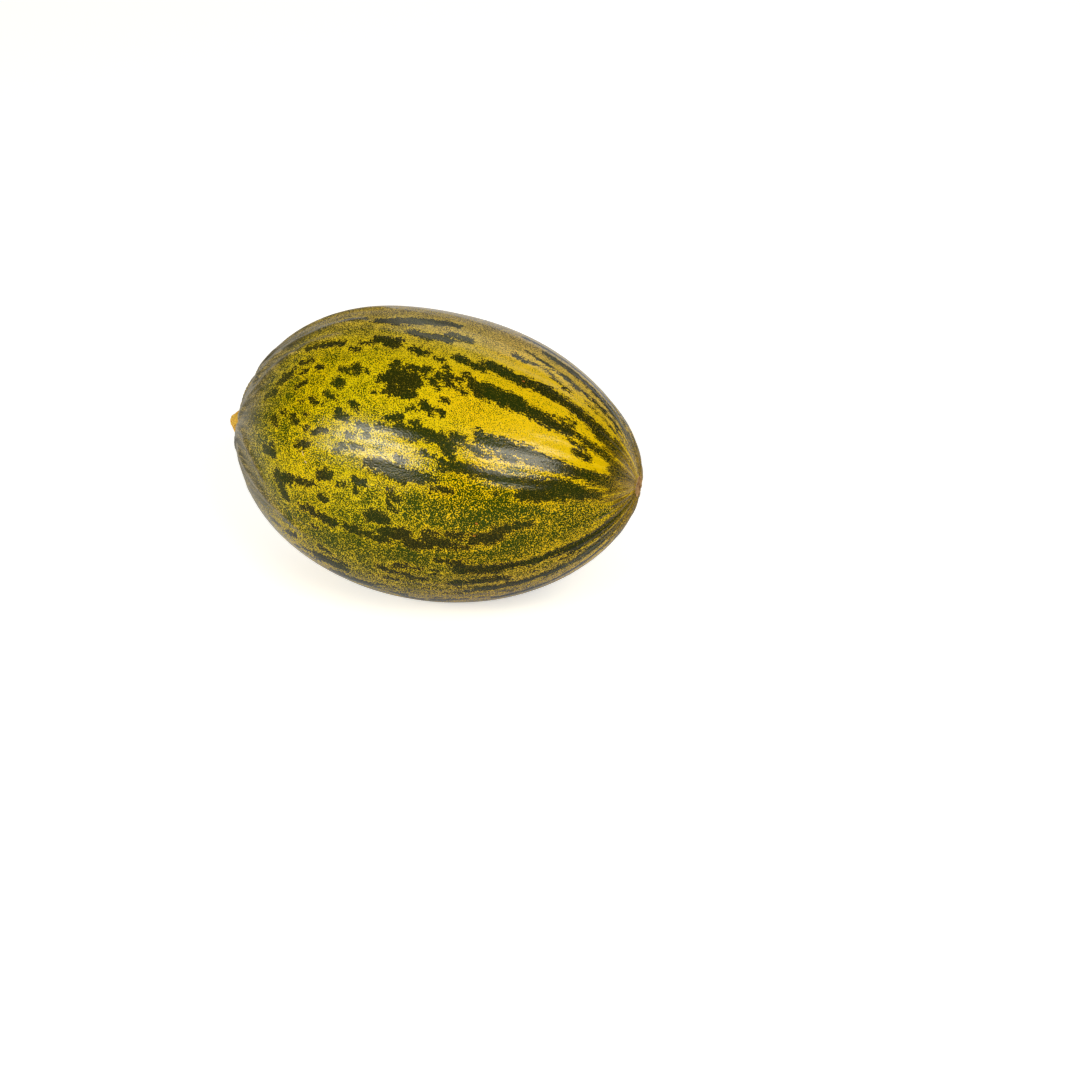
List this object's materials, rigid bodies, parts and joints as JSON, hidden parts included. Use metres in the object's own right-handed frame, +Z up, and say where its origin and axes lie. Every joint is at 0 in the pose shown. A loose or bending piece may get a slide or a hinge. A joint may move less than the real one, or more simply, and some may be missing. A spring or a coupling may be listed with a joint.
{
  "type": "whole piel de sapo melon",
  "caption": "Whole oval melon lying on its side, with mottled green and yellow rind, a corky stem stub at one end and a blossom scar at the other.",
  "frame": {"origin": "on the resting surface, below the middle of the whole fruit's box", "axes": "+X from the stem end to the blossom end along the fruit, +Z up, +Y across the fruit away from the side that the picture shows"},
  "size_m": [0.2286, 0.1524, 0.1507],
  "materials": {
    "rind": "waxy semi-gloss rind, golden yellow with fine green mottling and dark green blotches",
    "stem_cork": "dry matt cork, orange tan"
  },
  "bodies": {
    "root": {"fruit": "rind", "stem_stub": "stem_cork"}
  },
  "joints": []
}
